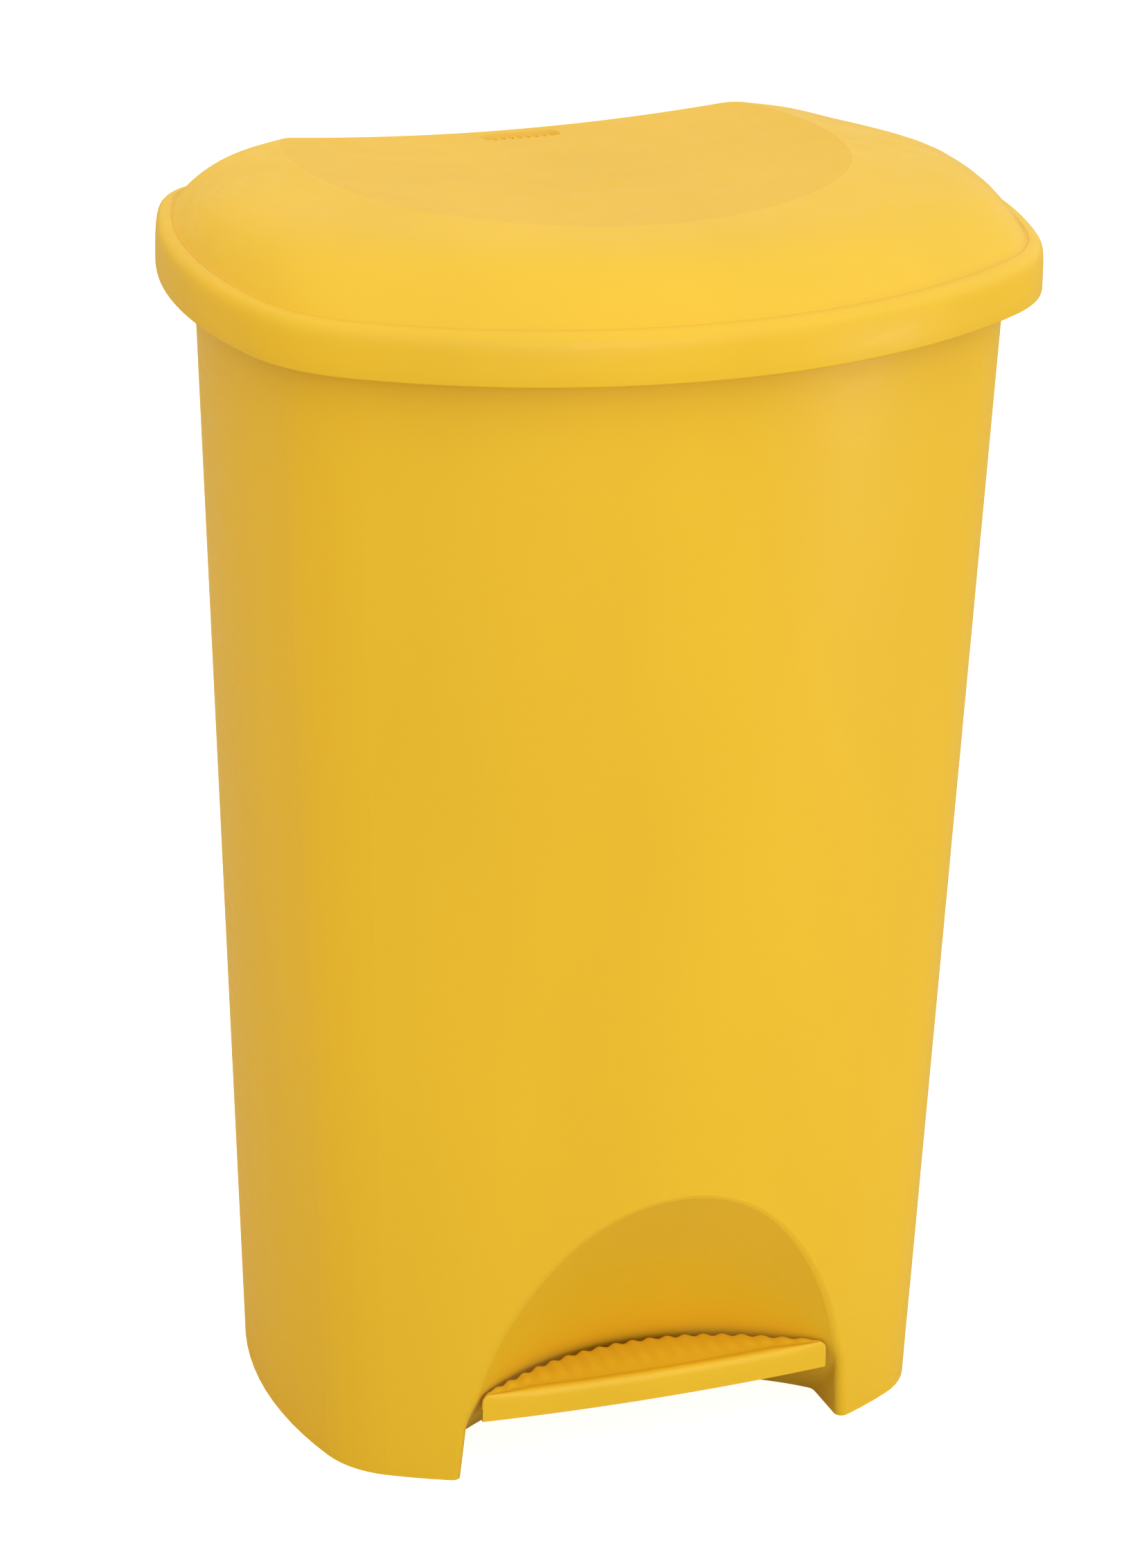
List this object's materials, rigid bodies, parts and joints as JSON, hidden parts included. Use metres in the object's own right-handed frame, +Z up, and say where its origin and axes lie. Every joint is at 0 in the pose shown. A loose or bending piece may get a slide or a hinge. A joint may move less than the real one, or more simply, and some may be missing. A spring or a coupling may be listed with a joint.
{
  "type": "pedal bin",
  "caption": "Tapered D-shaped plastic waste bin with an arched foot recess, a rear hinged domed lid and a pedal that lifts it through a push rod.",
  "frame": {"origin": "middle of the box on the floor, under the closed bin", "axes": "+Z up, -Y the front with the foot tread, +X to the right seen from the front"},
  "size_m": [0.432, 0.3149, 0.6553],
  "materials": {
    "bin_plastic": "moulded yellow polypropylene, satin",
    "inner_plastic": "moulded yellow polypropylene, plain inner parts",
    "bush_plastic": "natural acetal",
    "rod_steel": "drawn and zinc plated",
    "fastener_steel": "zinc plated",
    "buffer_rubber": "soft black rubber"
  },
  "bodies": {
    "body": {"body_shell": "bin_plastic", "foot_recess": "bin_plastic", "bucket_floor": "bin_plastic", "rear_channel": "bin_plastic", "axle_ribs": "bin_plastic", "hinge_lugs": "bin_plastic", "rear_channel_cover": "bin_plastic", "cover_screws": "fastener_steel", "rod_guide_lower": "inner_plastic", "rod_guide_middle": "inner_plastic", "rod_guide_upper": "inner_plastic", "guide_screws": "fastener_steel", "pedal_axle": "rod_steel", "axle_clip_left": "fastener_steel", "axle_clip_right": "fastener_steel", "pedal_stop_buffer": "buffer_rubber", "hinge_pin_left": "rod_steel", "hinge_pin_right": "rod_steel", "hinge_pin_clips": "fastener_steel"},
    "lid": {"lid_shell": "bin_plastic", "lid_hinge_bracket": "inner_plastic", "bracket_screws": "fastener_steel", "lid_buffers": "buffer_rubber", "lid_link_pin": "rod_steel"},
    "pedal": {"pedal_lever": "bin_plastic", "pedal_tread": "bin_plastic", "tread_screws": "fastener_steel", "pedal_bush_left": "bush_plastic", "pedal_bush_right": "bush_plastic"},
    "rod": {"push_rod": "rod_steel", "rod_lower_eye": "inner_plastic", "rod_upper_eye": "inner_plastic", "lever_link_pin": "rod_steel"}
  },
  "joints": [
    {"name": "lid_hinge", "type": "hinge", "parent": "body", "child": "lid", "pos_m": [0, 0.1475, 0.598], "axis": [-1, 0, 0], "range_deg": [0, 75]},
    {"name": "pedal_pivot", "type": "hinge", "parent": "body", "child": "pedal", "pos_m": [0, 0.0005, 0.024], "axis": [1, 0, 0], "range_deg": [0, 11.9]},
    {"name": "rod_slide", "type": "slide", "parent": "body", "child": "rod", "axis": [0, 0, 1], "range_m": [0, 0.0269]}
  ],
  "couplings": [
    {"joint": "pedal_pivot", "follows": "lid_hinge", "ratio": 0.15814},
    {"joint": "rod_slide", "follows": "lid_hinge", "m_per_rad": 0.020474}
  ]
}
